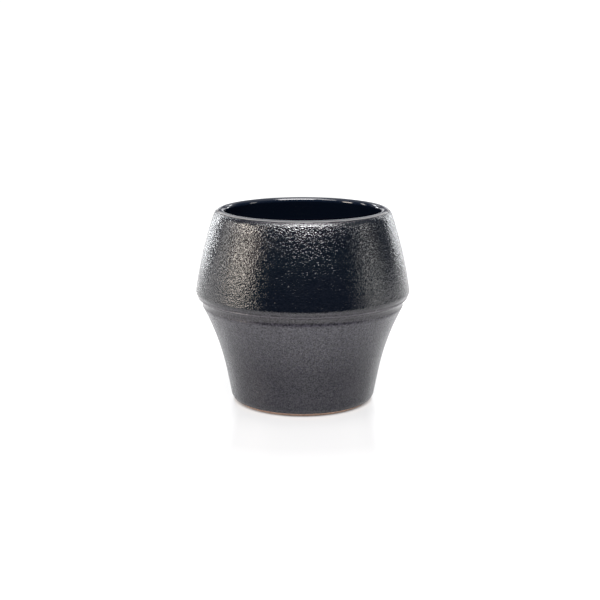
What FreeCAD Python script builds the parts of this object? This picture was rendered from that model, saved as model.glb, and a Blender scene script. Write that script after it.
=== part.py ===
import FreeCAD, Part
import math
import os
import Sketcher

# Empty candle jar, in millimetres. A turned form about Z: a clay body that stands on a bare
# foot, a textured glaze on the outside and a gloss glaze that lines the inside and the lip.
# Every piece is one revolved sketch, so all heights and radii below are half-section sizes.

DIMENSIONS = {
    # lip
    "height": 90.5,
    "lip_radius": 37.9,             # to the crest of the lip
    "lip_outer_round": 3.7,
    "lip_inner_round": 1.7,
    "seam_height": 90.0,            # where the two glazes meet, just outside the crest
    # shoulder and widest line
    "shoulder_curve": 180.0,
    "widest_radius": 50.0,
    "widest_height": 52.6,
    "widest_round": 2.5,
    # the two ledges under the widest line, and the hollow cove under each
    "upper_ledge_radius": 49.5,
    "upper_ledge_height": 50.9,
    "upper_cove_curve": 0.85,
    "lower_ledge_radius": 49.0,
    "lower_ledge_height": 49.7,
    "lower_cove_curve": 3.6,
    # lower wall, from under the ledges to the glaze hem
    "flare_top_radius": 47.0,
    "flare_top_height": 45.6,
    "flare_foot_radius": 35.75,
    "flare_foot_height": 13.0,
    "skirt_radius": 33.85,
    "skirt_height": 3.0,
    "hem_radius": 33.1,
    "hem_height": 1.5,
    # bare foot ring and the recess inside it
    "foot_radius": 31.1,
    "foot_inner_radius": 26.5,
    "recess_radius": 25.0,
    "recess_depth": 1.6,
    # wall and inside
    "wall": 4.6,
    "belly_round": 8.0,
    "floor_height": 6.5,
    "floor_round": 5.0,
    "glaze": 0.4,
}

ORIGIN = (-1, 1)        # a sketch's root point
FLOOR_LINE = -1         # its horizontal axis
TURN_LINE = -2          # its vertical axis, which is the jar's own axis
START, END, CENTRE = 1, 2, 3

# First guesses of where the smooth edges meet, in degrees. The solver moves each to its true fit.
SHOULDER_SPAN = (8, 20)
WIDEST_START = -30
BELLY_START = -25
WALL_LEAN = 11


def dimension_sheet(doc):
    sheet = doc.addObject("Spreadsheet::Sheet", "Dimensions")
    for row, (name, value) in enumerate(DIMENSIONS.items(), start=1):
        sheet.set(f"A{row}", name)
        sheet.set(f"B{row}", str(value))
        sheet.setAlias(f"B{row}", name)
    doc.recompute()


def bound(text):
    """The sheet's name in front of every dimension that the text uses."""
    for name in sorted(DIMENSIONS, key=len, reverse=True):
        text = text.replace(f"<{name}>", f"Dimensions.{name}")
    return text


def value_of(sketch, text):
    result = sketch.evalExpression(bound(text))
    return float(getattr(result, "Value", result))


def set_size(sketch, kind, references, text):
    """A driving constraint whose size follows the sheet."""
    constraint = Sketcher.Constraint(kind, *references, value_of(sketch, text))
    index = sketch.addConstraint(constraint)
    sketch.setExpression(f"Constraints[{index}]", bound(text))


def place(sketch, point, radius, height):
    set_size(sketch, "DistanceX", (*ORIGIN, *point), radius)
    set_size(sketch, "DistanceY", (*ORIGIN, *point), height)


def join(sketch, first, second):
    sketch.addConstraint(Sketcher.Constraint("Coincident", *first, *second))


def blend(sketch, first, second):
    """Join two ends so that one edge runs smoothly into the other."""
    sketch.addConstraint(Sketcher.Constraint("Tangent", *first, *second))


def corner(sketch, radius, height):
    return FreeCAD.Vector(value_of(sketch, radius), value_of(sketch, height), 0)


def add_line(sketch, start, end):
    return sketch.addGeometry(Part.LineSegment(start, end), False)


def add_arc(sketch, centre, curve, start_angle, end_angle):
    """An arc that runs anticlockwise, with its angles in degrees."""
    circle = Part.Circle(centre, FreeCAD.Vector(0, 0, 1), curve)
    arc = Part.ArcOfCircle(circle, math.radians(start_angle), math.radians(end_angle))
    return sketch.addGeometry(arc, False)


def angles_of(centre, *points):
    return [math.degrees(math.atan2(p.y - centre.y, p.x - centre.x)) % 360 for p in points]


def add_hollow_arc(sketch, start, end, curve_text):
    """A cove from its upper end to its lower one, with its centre outside the jar."""
    curve = value_of(sketch, curve_text)
    chord = end - start
    middle = (start + end) / 2
    outward = FreeCAD.Vector(-chord.y, chord.x, 0).normalize()
    centre = middle + outward * math.sqrt(curve ** 2 - (chord.Length / 2) ** 2)
    arc = add_arc(sketch, centre, curve, *angles_of(centre, start, end))
    set_size(sketch, "Radius", (arc,), curve_text)
    return arc


def add_lip_arc(sketch, round_name, depth, start_angle, end_angle):
    """Part of the lip's rounding, which has its crest straight above its centre."""
    middle = corner(sketch, "<lip_radius>", f"<height> - <{round_name}>")
    curve = f"<{round_name}> - {depth}"
    arc = add_arc(sketch, middle, value_of(sketch, curve), start_angle, end_angle)
    set_size(sketch, "DistanceX", (*ORIGIN, arc, CENTRE), "<lip_radius>")
    set_size(sketch, "Radius", (arc,), curve)
    return arc


def add_outer_lip(sketch, depth, start_angle, end_angle):
    """The lip's rounding on its outer side, which the wall's outer line fixes in full."""
    arc = add_lip_arc(sketch, "lip_outer_round", depth, start_angle, end_angle)
    set_size(sketch, "DistanceY", (*ORIGIN, arc, CENTRE), "<height> - <lip_outer_round>")
    return arc


def meet_at_crest(sketch, outer_lip, inner_lip):
    """End the lip's outer arc at the crest and hang the inner one from it."""
    set_size(sketch, "DistanceX", (*ORIGIN, outer_lip, END), "<lip_radius>")
    join(sketch, (outer_lip, END), (inner_lip, START))


def add_turn_in(sketch, centre_radius, curve_text, start_angle):
    """The small rounding at the widest line, where the wall turns back towards the foot."""
    centre = corner(sketch, centre_radius, "<widest_height>")
    arc = add_arc(sketch, centre, value_of(sketch, curve_text), start_angle, SHOULDER_SPAN[0])
    place(sketch, (arc, CENTRE), centre_radius, "<widest_height>")
    set_size(sketch, "Radius", (arc,), curve_text)
    return arc


def add_shoulder(sketch, foot_radius, curve_text):
    """The long bulging curve above the widest line, first put at foot_radius on that line."""
    curve = value_of(sketch, curve_text)
    lean = math.radians(SHOULDER_SPAN[0])
    foot = corner(sketch, foot_radius, "<widest_height>")
    centre = foot - FreeCAD.Vector(math.cos(lean), math.sin(lean), 0) * curve
    arc = add_arc(sketch, centre, curve, *SHOULDER_SPAN)
    set_size(sketch, "Radius", (arc,), curve_text)
    return arc


def add_flare(sketch, top, foot):
    """The lower wall's long curve, hollow to the outside, first put at the wall's own lean."""
    lean = math.radians(WALL_LEAN)
    chord = top - foot
    outward = FreeCAD.Vector(math.cos(lean), -math.sin(lean), 0)
    curve = chord.Length ** 2 / (2 * chord.dot(outward))
    centre = foot + outward * curve
    return add_arc(sketch, centre, curve, *angles_of(centre, top, foot))


def add_outside(sketch, depth):
    """The jar's outer line, sunk by depth, from the lip's rounding down to the glaze hem.

    Gives the lip's arc, whose upper end is still free, and the lower end of the last edge.
    """
    lip = add_outer_lip(sketch, depth, SHOULDER_SPAN[1], 70)
    widest_edge = f"<widest_radius> - {depth}"
    shoulder = add_shoulder(sketch, widest_edge, f"<shoulder_curve> - {depth}")
    widest = add_turn_in(sketch, "<widest_radius> - <widest_round>", f"<widest_round> - {depth}",
                         WIDEST_START)

    upper_ledge = (f"<upper_ledge_radius> - {depth}", f"<upper_ledge_height> + {depth} / 2")
    lower_ledge = (f"<lower_ledge_radius> - {depth}", f"<lower_ledge_height> + {depth} / 2")
    flare_top = (f"<flare_top_radius> - {depth}", "<flare_top_height>")
    flare_foot = (f"<flare_foot_radius> - {depth}", "<flare_foot_height>")
    skirt = (f"<skirt_radius> - {depth}", "<skirt_height>")
    hem = (f"<hem_radius> - {depth}", "<hem_height>")

    bevel_top = corner(sketch, widest_edge, "<widest_height>")
    bevel = add_line(sketch, bevel_top, corner(sketch, *upper_ledge))
    upper_cove = add_hollow_arc(
        sketch, corner(sketch, *upper_ledge), corner(sketch, *lower_ledge), "<upper_cove_curve>")
    lower_cove = add_hollow_arc(
        sketch, corner(sketch, *lower_ledge), corner(sketch, *flare_top), "<lower_cove_curve>")
    skirt_line = add_line(sketch, corner(sketch, *flare_foot), corner(sketch, *skirt))
    hem_line = add_line(sketch, corner(sketch, *skirt), corner(sketch, *hem))
    flare = add_flare(sketch, corner(sketch, *flare_top), corner(sketch, *flare_foot))

    blend(sketch, (lip, START), (shoulder, END))
    blend(sketch, (shoulder, START), (widest, END))
    blend(sketch, (widest, START), (bevel, START))
    join(sketch, (bevel, END), (upper_cove, START))
    join(sketch, (upper_cove, END), (lower_cove, START))
    join(sketch, (lower_cove, END), (flare, START))
    blend(sketch, (flare, END), (skirt_line, START))
    join(sketch, (skirt_line, END), (hem_line, START))
    place(sketch, (upper_cove, START), *upper_ledge)
    place(sketch, (lower_cove, START), *lower_ledge)
    place(sketch, (flare, START), *flare_top)
    place(sketch, (skirt_line, START), *flare_foot)
    place(sketch, (hem_line, START), *skirt)
    place(sketch, (hem_line, END), *hem)
    return lip, (hem_line, END)


def add_inside(sketch, depth):
    """The cavity's line, sunk by depth into the wall, from the lip's crest to the jar's axis.

    Gives the lip's arc, which starts at the crest, and the floor's end on the axis.
    """
    lip = add_lip_arc(sketch, "lip_inner_round", depth, 90, 180 + SHOULDER_SPAN[1])
    shoulder = add_shoulder(sketch, f"<widest_radius> - <wall> + {depth}",
                            f"<shoulder_curve> - <wall> + {depth}")
    belly = add_turn_in(sketch, "<widest_radius> - <wall> - <belly_round>", f"<belly_round> + {depth}",
                        BELLY_START)

    flare_foot = (f"<flare_foot_radius> - <wall> + {depth}", "<flare_foot_height>")
    foot_point = corner(sketch, *flare_foot)
    flare_top = corner(sketch, f"<flare_top_radius> - <wall> + {depth}", "<flare_top_height>")
    flare = add_flare(sketch, flare_top, foot_point)

    lean = "atan((<flare_foot_radius> - <skirt_radius>) / (<flare_foot_height> - <skirt_height>))"
    floor_level = f"<floor_height> - {depth}"
    fillet_curve = f"<floor_round> + {depth}"
    fillet_radius = value_of(sketch, fillet_curve)
    floor_point = corner(sketch, "<skirt_radius> - <wall>", floor_level)
    fillet_centre = floor_point + FreeCAD.Vector(-fillet_radius, fillet_radius, 0)
    fillet = add_arc(sketch, fillet_centre, fillet_radius, -90, -WALL_LEAN)
    set_size(sketch, "Radius", (fillet,), fillet_curve)
    skirt_line = add_line(sketch, foot_point, floor_point + FreeCAD.Vector(0, fillet_radius, 0))
    floor_line = add_line(sketch, fillet_centre - FreeCAD.Vector(0, fillet_radius, 0),
                          FreeCAD.Vector(0, floor_point.y, 0))

    blend(sketch, (lip, END), (shoulder, END))
    blend(sketch, (shoulder, START), (belly, END))
    blend(sketch, (belly, START), (flare, START))
    blend(sketch, (flare, END), (skirt_line, START))
    blend(sketch, (skirt_line, END), (fillet, END))
    blend(sketch, (fillet, START), (floor_line, START))
    place(sketch, (skirt_line, START), *flare_foot)
    set_size(sketch, "Angle", (skirt_line, END, TURN_LINE, START), lean)
    set_size(sketch, "DistanceY", (*ORIGIN, floor_line, END), floor_level)
    sketch.addConstraint(Sketcher.Constraint("Horizontal", floor_line))
    sketch.addConstraint(Sketcher.Constraint("PointOnObject", floor_line, END, TURN_LINE))
    return lip, (floor_line, END)


def end_point(sketch, end):
    return sketch.getPoint(*end)


def close_up(sketch, first, second):
    """A straight edge between two free ends."""
    line = add_line(sketch, end_point(sketch, first), end_point(sketch, second))
    join(sketch, (line, START), first)
    join(sketch, (line, END), second)
    return line


def set_seam(sketch, end, depth):
    """Put a lip arc's end on the seam, which runs straight out from the arc's centre."""
    middle = "(<height> - <lip_outer_round>)"
    share = f"(<lip_outer_round> - {depth}) / <lip_outer_round>"
    set_size(sketch, "DistanceY", (*ORIGIN, *end), f"{middle} + (<seam_height> - {middle}) * {share}")


def turned_body(doc, name, draw):
    """A body of its own for one piece, turned from the half section that draw makes."""
    body = doc.addObject("PartDesign::Body", name)
    body.Label = name
    plane = next(item for item in body.Origin.OriginFeatures if item.Role == "XZ_Plane")
    sketch = body.newObject("Sketcher::SketchObject", f"{name}_section")
    sketch.AttachmentSupport = [(plane, "")]
    sketch.MapMode = "FlatFace"
    doc.recompute()
    draw(sketch)
    doc.recompute()
    turn = body.newObject("PartDesign::Revolution", f"{name}_turn")
    turn.Profile = sketch
    turn.ReferenceAxis = (sketch, ["V_Axis"])
    turn.Angle = 360
    sketch.Visibility = False
    body.Placement = FreeCAD.Placement()
    doc.recompute()
    return body


def draw_clay(sketch):
    """Wall, floor and foot ring in one piece, bare below the hem and under the foot."""
    outer_lip, hem = add_outside(sketch, "<glaze>")
    inner_lip, floor = add_inside(sketch, "<glaze>")
    meet_at_crest(sketch, outer_lip, inner_lip)

    foot_corners = [
        ("<foot_radius>", None),
        ("<foot_inner_radius>", None),
        ("<recess_radius>", "<recess_depth>"),
        (None, "<recess_depth>"),
    ]
    last = hem
    for radius, height in foot_corners:
        target = corner(sketch, radius or "0", height or "0")
        line = add_line(sketch, end_point(sketch, last), target)
        join(sketch, (line, START), last)
        last = (line, END)
        if radius:
            set_size(sketch, "DistanceX", (*ORIGIN, *last), radius)
        else:
            sketch.addConstraint(Sketcher.Constraint("PointOnObject", *last, TURN_LINE))
        if height:
            set_size(sketch, "DistanceY", (*ORIGIN, *last), height)
        else:
            sketch.addConstraint(Sketcher.Constraint("PointOnObject", *last, FLOOR_LINE))
    close_up(sketch, last, floor)


def draw_outer_glaze(sketch):
    """A skin from the seam on the lip down to the hem above the bare foot."""
    ends = []
    for depth in ("0", "<glaze>"):
        lip, hem = add_outside(sketch, depth)
        set_seam(sketch, (lip, END), depth)
        ends.append(((lip, END), hem))
    (outer_seam, outer_hem), (inner_seam, inner_hem) = ends
    close_up(sketch, outer_seam, inner_seam)
    close_up(sketch, outer_hem, inner_hem)


def draw_inner_glaze(sketch):
    """A lining of floor and wall that goes over the lip's crest to the seam."""
    ends = []
    for depth in ("0", "<glaze>"):
        lip, floor = add_inside(sketch, depth)
        crest = add_outer_lip(sketch, depth, 50, 90)
        set_seam(sketch, (crest, START), depth)
        meet_at_crest(sketch, crest, lip)
        ends.append(((crest, START), floor))
    (top_seam, top_floor), (under_seam, under_floor) = ends
    close_up(sketch, top_seam, under_seam)
    close_up(sketch, top_floor, under_floor)


def check(doc, bodies):
    for item in doc.Objects:
        if {"Invalid", "Error"} & set(item.State):
            raise RuntimeError(f"{item.Name} failed: {item.State}")
        if item.TypeId == "Sketcher::SketchObject" and not item.FullyConstrained:
            raise RuntimeError(f"{item.Name} isn't fully constrained")
    for body in bodies:
        shape = body.Shape
        if shape.isNull() or not shape.isValid() or len(shape.Solids) != 1:
            raise RuntimeError(f"{body.Label} isn't one sound solid")


def main():
    doc = FreeCAD.newDocument("candle_jar")
    dimension_sheet(doc)
    bodies = [
        turned_body(doc, "clay_body", draw_clay),
        turned_body(doc, "outer_glaze", draw_outer_glaze),
        turned_body(doc, "inner_glaze", draw_inner_glaze),
    ]
    doc.recompute()
    check(doc, bodies)
    os.makedirs("parts", exist_ok=True)
    for body in bodies:
        body.Shape.exportStep(f"parts/{body.Label}.step")
        box = body.Shape.optimalBoundingBox(False)
        print(f"{body.Label}: {body.Shape.Volume / 1000:.2f} cm3, "
              f"radius {box.XMax:.2f}, height {box.ZMin:.2f} to {box.ZMax:.2f}")


main()
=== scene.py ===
import math

import bpy
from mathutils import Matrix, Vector, noise


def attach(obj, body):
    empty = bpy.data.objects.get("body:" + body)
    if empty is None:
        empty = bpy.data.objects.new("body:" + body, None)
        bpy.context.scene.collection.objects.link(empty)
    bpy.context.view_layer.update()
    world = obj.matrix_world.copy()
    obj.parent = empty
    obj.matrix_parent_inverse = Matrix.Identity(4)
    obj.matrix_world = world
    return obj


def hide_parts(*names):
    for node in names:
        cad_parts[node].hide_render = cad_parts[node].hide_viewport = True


MM = 0.001
TURN = 2 * math.pi

# The jar's half section, in millimetres, as the frame has it: radius first, then height.
HEIGHT = 90.5
LIP_RADIUS = 37.9
LIP_OUTER_ROUND = 3.7
LIP_INNER_ROUND = 1.7
SEAM_HEIGHT = 90.0
SHOULDER_CURVE = 180.0
WIDEST = Vector((50.0, 52.6))
WIDEST_ROUND = 2.5
UPPER_LEDGE = Vector((49.5, 50.9))
UPPER_COVE_CURVE = 0.85
LOWER_LEDGE = Vector((49.0, 49.7))
LOWER_COVE_CURVE = 3.6
FLARE_TOP = Vector((47.0, 45.6))
FLARE_FOOT = Vector((35.75, 13.0))
SKIRT = Vector((33.85, 3.0))
HEM = Vector((33.1, 1.5))
WALL = 4.6
BELLY_ROUND = 8.0
FLOOR_HEIGHT = 6.5
FLOOR_ROUND = 5.0
GLAZE = 0.4

# How finely the outlines and rings are cut, in millimetres and faces per turn.
STEP = 0.62
LIP_STEP = 0.12
LINING_SEGMENTS = 256

# The orange-peel relief of the outer glaze, in millimetres.
COARSE_BUMP, FINE_BUMP = 1.6, 0.8
LEDGE_RELIEF = 0.008
WALL_RELIEF = 0.017
SHOULDER_RELIEF = 0.072

# The studio, in metres and degrees.
FLOOR_HALF = 0.7
FLOOR_DROP = 0.00002
FLAG_HALF = 0.72
LAMP_DISTANCE = 1.2
LAMP_TARGET = Vector((0, 0, 0.05))
LOOK_DOWN = 12.58


# ---------------------------------------------------------------- outlines

def angle_of(centre, point):
    return math.atan2(point.y - centre.y, point.x - centre.x)


def arc(centre, radius, start, end, step):
    """Points on an arc between two angles, about step apart."""
    count = max(2, math.ceil(abs(end - start) * radius / step))
    angles = [start + (end - start) * i / count for i in range(count + 1)]
    return [centre + Vector((math.cos(a), math.sin(a))) * radius for a in angles]


def line(start, end, step):
    count = max(1, math.ceil((end - start).length / step))
    return [start.lerp(end, i / count) for i in range(count + 1)]


def tangent_centre(first, first_gap, second, second_gap):
    """Centre, on the axis side, of a circle at the given distances from two other centres."""
    apart = second - first
    along = (first_gap ** 2 - second_gap ** 2 + apart.length ** 2) / (2 * apart.length)
    across = math.sqrt(first_gap ** 2 - along ** 2)
    direction = apart.normalized()
    side = Vector((direction.y, -direction.x))
    if side.x > 0:
        side = -side
    return first + direction * along + side * across


def cove(start, end, curve, step):
    """A hollow arc between two points, with its centre outside the jar."""
    chord = end - start
    outward = Vector((-chord.y, chord.x)).normalized()
    centre = (start + end) / 2 + outward * math.sqrt(curve ** 2 - (chord.length / 2) ** 2)
    first, last = (angle_of(centre, p) % TURN for p in (start, end))
    return arc(centre, curve, first, last, step)


def touch_point(centre, radius, point):
    """Where a line from point touches a circle, on the circle's lower outer side."""
    gap = point - centre
    spread = math.acos(radius / gap.length)
    base = math.atan2(gap.y, gap.x)
    return max((centre + Vector((math.cos(a), math.sin(a))) * radius
                for a in (base - spread, base + spread)), key=lambda p: p.x)


def joined(*runs):
    """One outline from several runs, without the points that two of them share."""
    outline = []
    for run in runs:
        for point in run:
            if not outline or (point - outline[-1]).length > 1e-4:
                outline.append(point)
    return outline


def wall_outward():
    """Unit vector square to the straight skirt, pointing out."""
    rise = (FLARE_FOOT - SKIRT).normalized()
    return Vector((rise.y, -rise.x))


def outer_outline(depth, step):
    """From the seam outside the lip down to the glaze hem, sunk by depth."""
    lip = Vector((LIP_RADIUS, HEIGHT - LIP_OUTER_ROUND))
    widest = Vector((WIDEST.x - WIDEST_ROUND, WIDEST.y))
    curve = SHOULDER_CURVE - depth
    lip_round, widest_round = LIP_OUTER_ROUND - depth, WIDEST_ROUND - depth
    shoulder = tangent_centre(lip, curve - lip_round, widest, curve - widest_round)
    sunk = Vector((-depth, 0))
    upper = UPPER_LEDGE + sunk + Vector((0, depth / 2))
    lower = LOWER_LEDGE + sunk + Vector((0, depth / 2))
    bevel_top = touch_point(widest, widest_round, upper)
    top, foot = FLARE_TOP + sunk, FLARE_FOOT + sunk
    outward = wall_outward()
    flare_curve = (top - foot).length_squared / (2 * (top - foot).dot(outward))
    flare = foot + outward * flare_curve
    seam = math.asin((SEAM_HEIGHT - lip.y) / LIP_OUTER_ROUND)
    return joined(
        arc(lip, lip_round, seam, angle_of(shoulder, lip), step * 0.6),
        arc(shoulder, curve, angle_of(shoulder, lip), angle_of(shoulder, widest), step),
        arc(widest, widest_round, angle_of(shoulder, widest), angle_of(widest, bevel_top), step * 0.5),
        line(bevel_top, upper, step * 0.5),
        cove(upper, lower, UPPER_COVE_CURVE, step * 0.3),
        cove(lower, top, LOWER_COVE_CURVE, step * 0.5),
        arc(flare, flare_curve, angle_of(flare, top) % TURN, angle_of(flare, foot) % TURN, step * 1.4),
        line(foot, SKIRT + sunk, step * 1.4),
        line(SKIRT + sunk, HEM + sunk, step * 0.5),
    )


def inner_outline(depth, step):
    """From the lip's crest down the inside and along the floor to the axis, sunk by depth."""
    lip = Vector((LIP_RADIUS, HEIGHT - LIP_INNER_ROUND))
    belly = Vector((WIDEST.x - WALL - BELLY_ROUND, WIDEST.y))
    curve = SHOULDER_CURVE - WALL + depth
    lip_round, belly_round = LIP_INNER_ROUND - depth, BELLY_ROUND + depth
    shoulder = tangent_centre(lip, curve + lip_round, belly, curve - belly_round)
    outward = wall_outward()
    foot = FLARE_FOOT + Vector((depth - WALL, 0))
    gap = foot - belly
    flare_curve = (gap.length_squared - belly_round ** 2) / (2 * (belly_round - gap.dot(outward)))
    flare = foot + outward * flare_curve
    level, fillet = FLOOR_HEIGHT - depth, FLOOR_ROUND + depth
    down = Vector((outward.y, -outward.x))
    fillet_side = foot - outward * fillet
    fillet_centre = fillet_side + down * ((fillet_side.y - level - fillet) / -down.y)
    return joined(
        arc(lip, lip_round, math.pi / 2, angle_of(shoulder, lip) + math.pi, LIP_STEP),
        arc(shoulder, curve, angle_of(shoulder, lip), angle_of(shoulder, belly), step),
        arc(belly, belly_round, angle_of(shoulder, belly), angle_of(belly, flare), step),
        arc(flare, flare_curve, angle_of(flare, belly) % TURN, angle_of(flare, foot) % TURN, step),
        line(foot, fillet_centre + outward * fillet, step),
        arc(fillet_centre, fillet, math.atan2(outward.y, outward.x), -math.pi / 2, step * 0.5),
        line(Vector((fillet_centre.x, level)), Vector((0, level)), step * 2),
    )


# ---------------------------------------------------------------- meshes

def lathe(name, outline, segments, closed, shift=None):
    """A turned mesh. shift(point on the surface) gives how far it moves along its normal."""
    count = len(outline)
    vertices, rings = [], []
    for index, point in enumerate(outline):
        before = outline[index - 1] if index or closed else point
        after = outline[(index + 1) % count] if index + 1 < count or closed else point
        along = (after - before).normalized()
        normal = Vector((-along.y, along.x))
        if point.x < 1e-6:
            rings.append([len(vertices)])
            vertices.append((0.0, 0.0, point.y * MM))
            continue
        ring = []
        for step in range(segments):
            turn = TURN * step / segments
            cos, sin = math.cos(turn), math.sin(turn)
            place = Vector((point.x * cos, point.x * sin, point.y))
            if shift:
                place += Vector((normal.x * cos, normal.x * sin, normal.y)) * shift(place)
            ring.append(len(vertices))
            vertices.append(tuple(place * MM))
        rings.append(ring)
    faces = []
    for index in range(count if closed else count - 1):
        upper, lower = rings[index], rings[(index + 1) % count]
        for step in range(segments):
            after = (step + 1) % segments
            if len(upper) == 1:
                faces.append((upper[0], lower[step], lower[after]))
            elif len(lower) == 1:
                faces.append((upper[step], lower[0], upper[after]))
            else:
                faces.append((upper[step], lower[step], lower[after], upper[after]))
    mesh = bpy.data.meshes.new(name)
    mesh.from_pydata(vertices, [], faces)
    mesh.polygons.foreach_set("use_smooth", [True] * len(faces))
    mesh.update()
    piece = bpy.data.objects.new(name, mesh)
    bpy.context.scene.collection.objects.link(piece)
    return piece


def blend_step(value, low, high):
    """0 up to low, 1 from high on, and a smooth rise between them."""
    share = min(1.0, max(0.0, (value - low) / (high - low)))
    return share * share * (3 - 2 * share)


def orange_peel(place):
    """Relief of the textured glaze, in millimetres, always inwards. It fades at the seam."""
    coarse = noise.noise(place / COARSE_BUMP)
    fine = noise.noise(place / FINE_BUMP + Vector((31, 7, 13)))
    relief = 0.3 * coarse + 0.7 * fine
    by_seam = 1 - 0.5 * blend_step(place.z, SEAM_HEIGHT - 0.3, SEAM_HEIGHT)
    on_shoulder = blend_step(place.z, 51.3, 53.5) * by_seam
    on_wall = 1 - blend_step(place.z, 42.5, 45.0)
    height = LEDGE_RELIEF + WALL_RELIEF * on_wall + SHOULDER_RELIEF * on_shoulder
    return height * (relief - 0.9)


# ---------------------------------------------------------------- materials

# Noise scales are in cells per metre, and bump distances in metres.

def material(name, roughness, ior=1.5):
    mat = bpy.data.materials.new(name)
    mat.use_nodes = True
    shader = mat.node_tree.nodes["Principled BSDF"]
    shader.inputs["Roughness"].default_value = roughness
    shader.inputs["IOR"].default_value = ior
    return mat, mat.node_tree, shader


def add(tree, kind, **values):
    """A node with its sockets or its own settings filled in by name."""
    node = tree.nodes.new(kind)
    for key, value in values.items():
        if key in node.inputs:
            node.inputs[key].default_value = value
        else:
            setattr(node, key, value)
    return node


def noise_node(tree, coords, scale, detail=3.0, rough=0.5):
    node = add(tree, "ShaderNodeTexNoise", Scale=scale, Detail=detail, Roughness=rough)
    tree.links.new(coords, node.inputs["Vector"])
    return node.outputs["Fac"]


def mapped(tree, value, low, high, to_low, to_high):
    node = tree.nodes.new("ShaderNodeMapRange")
    for key, number in (("From Min", low), ("From Max", high), ("To Min", to_low), ("To Max", to_high)):
        node.inputs[key].default_value = number
    tree.links.new(value, node.inputs["Value"])
    return node.outputs["Result"]


def between(tree, place, low, high, to_low=0.0, to_high=1.0):
    """A number that changes as a height or distance goes from low to high, in millimetres."""
    return mapped(tree, place, low * MM, high * MM, to_low, to_high)


def worked_out(tree, operation, first, second):
    node = add(tree, "ShaderNodeMath", operation=operation)
    tree.links.new(first, node.inputs[0])
    tree.links.new(second, node.inputs[1])
    return node.outputs[0]


def times(tree, first, second):
    return worked_out(tree, "MULTIPLY", first, second)


def separate(tree, place):
    node = tree.nodes.new("ShaderNodeSeparateXYZ")
    tree.links.new(place, node.inputs[0])
    return node.outputs


def from_axis(tree, place):
    """How far a place is from the jar's axis."""
    flat = add(tree, "ShaderNodeVectorMath", operation="MULTIPLY")
    tree.links.new(place, flat.inputs[0])
    flat.inputs[1].default_value = (1, 1, 0)
    away = add(tree, "ShaderNodeVectorMath", operation="LENGTH")
    tree.links.new(flat.outputs["Vector"], away.inputs[0])
    return away.outputs["Value"]


def blended(tree, share, low, high):
    """A number that goes from low to high."""
    node = add(tree, "ShaderNodeMix", data_type="FLOAT")
    floats = [socket for socket in node.inputs if socket.type == "VALUE" and socket.name in "AB"]
    tree.links.new(share, node.inputs["Factor"])
    for socket, value in zip(floats, (low, high)):
        tree.links.new(value, socket)
    return next(s for s in node.outputs if s.type == "VALUE")


def mixed(tree, share, low, high):
    """A colour that goes from low to high, each a colour or a socket."""
    node = add(tree, "ShaderNodeMix", data_type="RGBA")
    ends = [socket for socket in node.inputs if socket.type == "RGBA"]
    for socket, colour in zip(ends, (low, high)):
        if isinstance(colour, tuple):
            socket.default_value = (*colour, 1)
        else:
            tree.links.new(colour, socket)
    tree.links.new(share, node.inputs["Factor"])
    return next(s for s in node.outputs if s.type == "RGBA")


def bumped(tree, shader, height, distance, strength=1.0):
    node = add(tree, "ShaderNodeBump", Strength=strength, Distance=distance)
    tree.links.new(height, node.inputs["Height"])
    tree.links.new(node.outputs["Normal"], shader.inputs["Normal"])


def glaze_colour(tree, place, height, on_shoulder, on_wall):
    """Blue-black on the shoulder, greyer below it, palest on the lower ledge's crest. The grey below
    the shoulder is a painted reflection of the lit floor that darkens towards the foot as painted
    shade, and the crest's pale line is a painted highlight.
    """
    speck = mapped(tree, noise_node(tree, place, 1100, 4), 0.40, 0.62, 0, 1)
    shoulder = mixed(tree, speck, (0.0012, 0.0020, 0.0042), (0.0028, 0.0038, 0.0066))
    # Painted light: the wall's grey is a painted reflection of the lit floor, fading to painted shade
    # towards the foot.
    painted_reflection_upper_wall = mixed(tree, speck, (0.020, 0.019, 0.026), (0.066, 0.064, 0.080))
    painted_shade_lower_wall = mixed(tree, speck, (0.0005, 0.0005, 0.005), (0.006, 0.005, 0.013))
    wall = mixed(tree, between(tree, height, 20, 47), painted_shade_lower_wall, painted_reflection_upper_wall)
    ledge = mixed(tree, speck, (0.013, 0.012, 0.016), (0.046, 0.043, 0.054))
    # Painted highlight: a pale line along the lower ledge's crest.
    crest = times(tree, between(tree, height, 49.2, 49.5), between(tree, height, 49.9, 50.3, 1, 0))
    ledges = mixed(tree, crest, ledge, (0.085, 0.080, 0.090))
    below = mixed(tree, on_wall, ledges, wall)
    return mixed(tree, on_shoulder, below, shoulder)


def glaze_shine(tree, height, on_shoulder, on_wall, pebbles, relief):
    """The pebbles' tops reflect more than the gaps, most of all high on the shoulder. The gaps' weaker
    reflection is painted shade in the pebbles' hollows.
    """
    wall = mapped(tree, relief, 0.35, 0.65, 0.27, 0.63)
    ledge = mapped(tree, pebbles, 0.35, 0.65, 0.36, 0.50)
    calm = mapped(tree, pebbles, 0.35, 0.65, 0.42, 0.60)
    lively = mapped(tree, pebbles, 0.35, 0.65, 0.19, 0.84)
    under_lip = between(tree, height, 83.2, 86.8, 1.0, 1.6)
    on_lip = between(tree, height, 87.8, 89.0, 1.0, 0.46)
    shoulder = times(tree, blended(tree, between(tree, height, 55, 80), calm, lively),
                     times(tree, under_lip, on_lip))
    return blended(tree, on_shoulder, blended(tree, on_wall, ledge, wall), shoulder)


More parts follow.
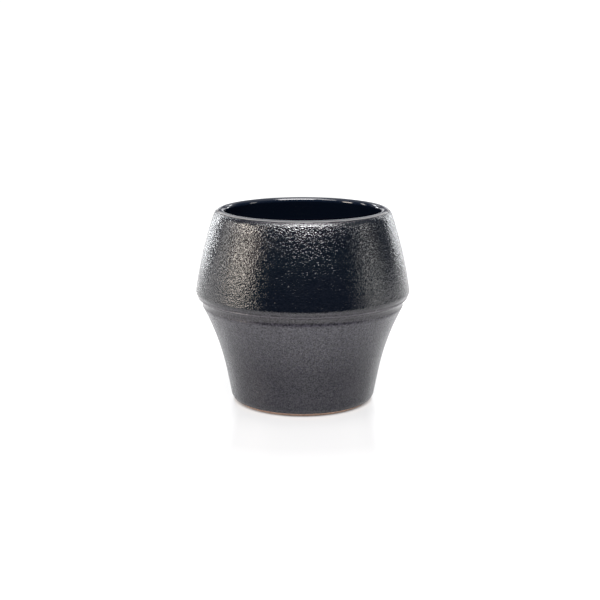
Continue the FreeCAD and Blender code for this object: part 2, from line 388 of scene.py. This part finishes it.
def textured_glaze():
    mat, tree, shader = material("textured_black_glaze", 0.2, 1.6)
    place = tree.nodes.new("ShaderNodeTexCoord").outputs["Object"]
    height = separate(tree, place)["Z"]
    on_shoulder = between(tree, height, 51.0, 52.6)
    on_wall = between(tree, height, 44.4, 46.2, 1, 0)
    colour = glaze_colour(tree, place, height, on_shoulder, on_wall)
    tree.links.new(colour, shader.inputs["Base Color"])
    cloud = noise_node(tree, place, 120, 2)
    roughness = worked_out(tree, "ADD", mapped(tree, cloud, 0.3, 0.7, 0.0, 0.06),
                           mapped(tree, on_shoulder, 0, 1, 0.22, 0.10))
    tree.links.new(roughness, shader.inputs["Roughness"])
    pebbles = noise_node(tree, place, 1600, 1.0)
    textured = worked_out(tree, "MAXIMUM", on_shoulder, on_wall)
    relief = times(tree, pebbles, mapped(tree, textured, 0, 1, 0.3, 1))
    shine = glaze_shine(tree, height, on_shoulder, on_wall, pebbles, relief)
    tree.links.new(shine, shader.inputs["Specular IOR Level"])
    bumped(tree, shader, relief, 0.00021)
    return mat


def gloss_glaze():
    """The lining's glaze, paler on the lip's outer edge."""
    mat, tree, shader = material("gloss_black_glaze", 0.08, 1.55)
    place = tree.nodes.new("ShaderNodeTexCoord").outputs["Object"]
    cloud = noise_node(tree, place, 60, 3)
    thick = mixed(tree, cloud, (0.0024, 0.0048, 0.0105), (0.0034, 0.0060, 0.0130))
    pale_edge_tone = mixed(tree, cloud, (0.080, 0.078, 0.078), (0.125, 0.122, 0.120))
    on_edge = times(tree, between(tree, from_axis(tree, place), 38.8, 39.3),
                    between(tree, separate(tree, place)["Z"], 89.0, 89.5))
    tree.links.new(mixed(tree, on_edge, thick, pale_edge_tone), shader.inputs["Base Color"])
    tree.links.new(mapped(tree, cloud, 0.3, 0.7, 0.06, 0.12), shader.inputs["Roughness"])
    bumped(tree, shader, noise_node(tree, place, 220, 2), 0.00003, 0.4)
    return mat


def bare_clay():
    mat, tree, shader = material("bare_terracotta", 0.8)
    place = tree.nodes.new("ShaderNodeTexCoord").outputs["Object"]
    grain = noise_node(tree, place, 900, 5, 0.6)
    cloud = noise_node(tree, place, 90, 3)
    share = times(tree, mapped(tree, grain, 0.3, 0.7, 0, 1), mapped(tree, cloud, 0.2, 0.8, 0.5, 1))
    colour = mixed(tree, share, (0.34, 0.20, 0.14), (0.66, 0.44, 0.33))
    tree.links.new(colour, shader.inputs["Base Color"])
    tree.links.new(mapped(tree, grain, 0.3, 0.7, 0.7, 0.9), shader.inputs["Roughness"])
    bumped(tree, shader, grain, 0.00015, 0.6)
    return mat


def floor_material():
    """A white table lit from below and glossy only near the jar. Its light carries painted shade,
    dimmer near the jar and dark under the foot as a painted contact shadow, and painted light behind
    the jar that fills the jar's shadow.
    """
    mat, tree, shader = material("white_floor", 0.08, 1.45)
    place = tree.nodes.new("ShaderNodeTexCoord").outputs["Object"]
    away = from_axis(tree, place)
    cloud = noise_node(tree, place, 12, 2)
    white = mixed(tree, cloud, (0.165, 0.165, 0.165), (0.175, 0.175, 0.175))
    tree.links.new(white, shader.inputs["Base Color"])
    shader.inputs["Emission Color"].default_value = (1, 1, 1, 1)
    # Painted shade: dimmer near the jar, with a painted contact shadow under the foot.
    glow_with_painted_shade = times(tree, between(tree, away, 75, 190, 0.535, 0.95),
                 between(tree, away, 30.8, 33.5, 0.25, 1.0))
    # Painted light: brighter behind the jar, filling the jar's shadow.
    behind = between(tree, separate(tree, place)["Y"], -30, 0, 1.0, 1.18)
    tree.links.new(times(tree, glow_with_painted_shade, behind), shader.inputs["Emission Strength"])
    tree.links.new(between(tree, away, 80, 170, 0.5, 0.0), shader.inputs["Specular IOR Level"])
    tree.links.new(mapped(tree, cloud, 0.3, 0.7, 0.07, 0.09), shader.inputs["Roughness"])
    return mat


# ---------------------------------------------------------------- the jar

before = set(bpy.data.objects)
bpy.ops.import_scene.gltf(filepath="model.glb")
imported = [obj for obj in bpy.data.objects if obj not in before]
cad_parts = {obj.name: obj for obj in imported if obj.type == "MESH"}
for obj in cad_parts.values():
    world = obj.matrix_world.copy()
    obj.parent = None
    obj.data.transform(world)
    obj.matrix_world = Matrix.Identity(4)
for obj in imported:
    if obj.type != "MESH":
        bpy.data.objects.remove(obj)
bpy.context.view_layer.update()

SEGMENTS = 500

glaze_face = outer_outline(0, STEP)
glaze_back = outer_outline(GLAZE, STEP * 6)
outer_skin = lathe("outer_glaze_coat", glaze_face + glaze_back[::-1], SEGMENTS, True, orange_peel)
outer_skin.data.materials.append(textured_glaze())
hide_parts("outer_glaze")

lip_centre = Vector((LIP_RADIUS, HEIGHT - LIP_OUTER_ROUND))
seam = math.asin((SEAM_HEIGHT - lip_centre.y) / LIP_OUTER_ROUND)
lip_face = arc(lip_centre, LIP_OUTER_ROUND, seam, math.pi / 2, LIP_STEP)
lip_back = arc(lip_centre, LIP_OUTER_ROUND - GLAZE, seam, math.pi / 2, 0.3)
lining_face = joined(lip_face, inner_outline(0, 1.0))
lining_back = joined(lip_back, inner_outline(GLAZE, 3.0))
lining = lathe("inner_glaze_coat", lining_face[::-1] + lining_back, LINING_SEGMENTS, False)
lining.data.materials.append(gloss_glaze())
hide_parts("inner_glaze")

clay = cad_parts["clay_body"]
clay.data.materials.clear()
clay.data.materials.append(bare_clay())

for piece in (outer_skin, lining):
    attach(piece, "root")

# ---------------------------------------------------------------- floor, light and camera

def sheet(name, half_width, near, far, mat):
    """A flat sheet from its near edge to its far one, each given as Y and Z."""
    corners = [(-half_width, *near), (half_width, *near), (half_width, *far), (-half_width, *far)]
    mesh = bpy.data.meshes.new(name)
    mesh.from_pydata(corners, [], [(0, 1, 2, 3)])
    mesh.materials.append(mat)
    piece = bpy.data.objects.new(name, mesh)
    bpy.context.scene.collection.objects.link(piece)
    return piece


def flag(name, colour, half_width, near, far):
    """A dark sheet that only shows as a reflection."""
    mat, tree, shader = material(name, 1.0)
    shader.inputs["Base Color"].default_value = (*colour, 1)
    shader.inputs["Specular IOR Level"].default_value = 0.0
    piece = sheet(name, half_width, near, far, mat)
    piece.visible_camera = False
    piece.visible_diffuse = False
    piece.visible_shadow = False


floor = sheet("studio_floor", FLOOR_HALF, (-FLOOR_HALF, 0), (FLOOR_HALF, 0), floor_material())
floor.location.z = -FLOOR_DROP
flag("front_flag", (0.010, 0.012, 0.018), FLAG_HALF, (-FLAG_HALF, 0.001), (-0.14, 0.001))
flag("crest_flag", (0.10, 0.10, 0.11), 0.07, (0.06, 0.0985), (0.06, 0.107))


def softbox(name, azimuth, elevation, width, height, power, colour):
    """A rectangular lamp that looks at the jar. Azimuth 0 is in front, 90 on the right."""
    a, e = math.radians(azimuth), math.radians(elevation)
    back = Vector((math.sin(a) * math.cos(e), -math.cos(a) * math.cos(e), math.sin(e)))
    data = bpy.data.lights.new(name, "AREA")
    data.shape = "RECTANGLE"
    data.size, data.size_y = width, height
    data.energy = power
    data.color = colour
    lamp = bpy.data.objects.new(name, data)
    lamp.location = LAMP_TARGET + back * LAMP_DISTANCE
    lamp.rotation_mode = "QUATERNION"
    lamp.rotation_quaternion = (-back).to_track_quat("-Z", "Y")
    lamp.visible_camera = False
    bpy.context.scene.collection.objects.link(lamp)


softbox("left_softbox", -73, 14, 0.34, 0.42, 5.9, (1.0, 0.90, 0.80))
softbox("left_strip", -106, 12, 0.16, 0.6, 1.9, (1.0, 0.96, 0.93))
softbox("upper_left", -50, 50, 0.4, 0.3, 3.6, (1.0, 0.98, 0.99))
softbox("top_softbox", 12, 53, 0.95, 0.34, 21.5, (1.0, 0.98, 0.99))
softbox("overhead", 6, 76, 1.0, 0.55, 17.0, (1.0, 0.98, 0.99))
softbox("right_softbox", 82, 10, 0.24, 0.5, 1.6, (1.0, 0.98, 0.95))
softbox("left_rim", -146, 12, 0.12, 0.7, 3.0, (0.96, 0.98, 1.0))
softbox("right_rim", 148, 12, 0.12, 0.7, 2.1, (0.96, 0.98, 1.0))


def studio_world():
    """Pale behind the jar and above it, dark elsewhere, and plain white to the camera."""
    world = bpy.data.worlds.new("studio")
    world.use_nodes = True
    tree = world.node_tree
    way = separate(tree, tree.nodes.new("ShaderNodeTexCoord").outputs["Generated"])
    share = worked_out(tree, "MAXIMUM", mapped(tree, way["Y"], 0.5, 0.92, 0.0, 1.0),
                       mapped(tree, way["Z"], 0.45, 0.9, 0.0, 0.8))
    studio_light = mixed(tree, share, (0.02, 0.03, 0.05), (1.05, 1.06, 1.08))
    to_camera = tree.nodes.new("ShaderNodeLightPath").outputs["Is Camera Ray"]
    shown = mixed(tree, to_camera, studio_light, (1.05, 1.05, 1.05))
    tree.links.new(shown, tree.nodes["Background"].inputs["Color"])
    return world


bpy.context.scene.world = studio_world()
bpy.context.scene.view_settings.view_transform = "Standard"

lens = bpy.data.cameras.new("camera")
lens.sensor_width = 36.0
lens.lens = 71.9
camera = bpy.data.objects.new("camera", lens)
camera.location = (-0.0013, -0.550, 0.1697)
camera.rotation_euler = (math.radians(90 - LOOK_DOWN), 0, 0)
bpy.context.scene.collection.objects.link(camera)
bpy.context.scene.camera = camera
